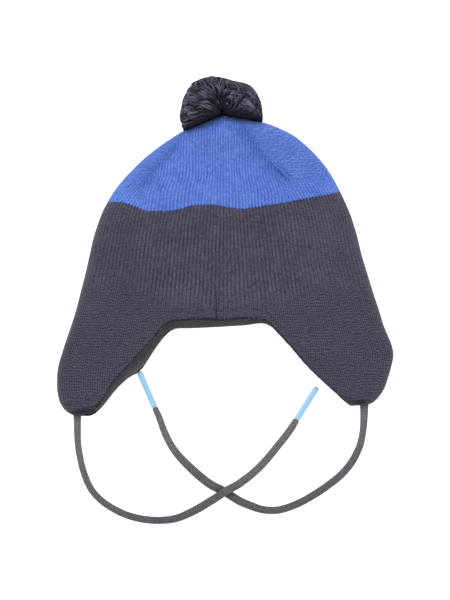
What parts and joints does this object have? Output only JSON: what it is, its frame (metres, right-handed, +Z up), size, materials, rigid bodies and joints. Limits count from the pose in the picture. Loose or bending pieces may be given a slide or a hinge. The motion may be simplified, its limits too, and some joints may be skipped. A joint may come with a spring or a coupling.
{
  "type": "pom-pom knit hat with ear flaps",
  "caption": "Knitted winter hat with ear flaps, a soft lining, two tie cords with soft tips and a yarn pompom, lying flat.",
  "frame": {"origin": "on the surface the hat lies on, under the middle of the hat's own box, leaving out the tie cords and their tips", "axes": "+Z up from that surface, through the flat hat; +Y towards the crown's tip and the pompom; -Y towards the ear flaps; +X to the right seen from above"},
  "size_m": [0.285, 0.3817, 0.0515],
  "materials": {
    "knit_blue": "matte fine rib knit",
    "knit_charcoal": "matte fine rib knit",
    "lining_fleece": "short napped fleece",
    "pompom_yarn": "loose brushed yarn",
    "cord_knit": "round knitted cord",
    "cord_tip": "smooth satin soft plastic"
  },
  "bodies": {
    "root": {"crown": "knit_blue", "body": "knit_charcoal", "lining": "lining_fleece", "pompom": "pompom_yarn", "tie_cord_left": "cord_knit", "tie_cord_right": "cord_knit", "cord_tip_left": "cord_tip", "cord_tip_right": "cord_tip"}
  },
  "joints": []
}
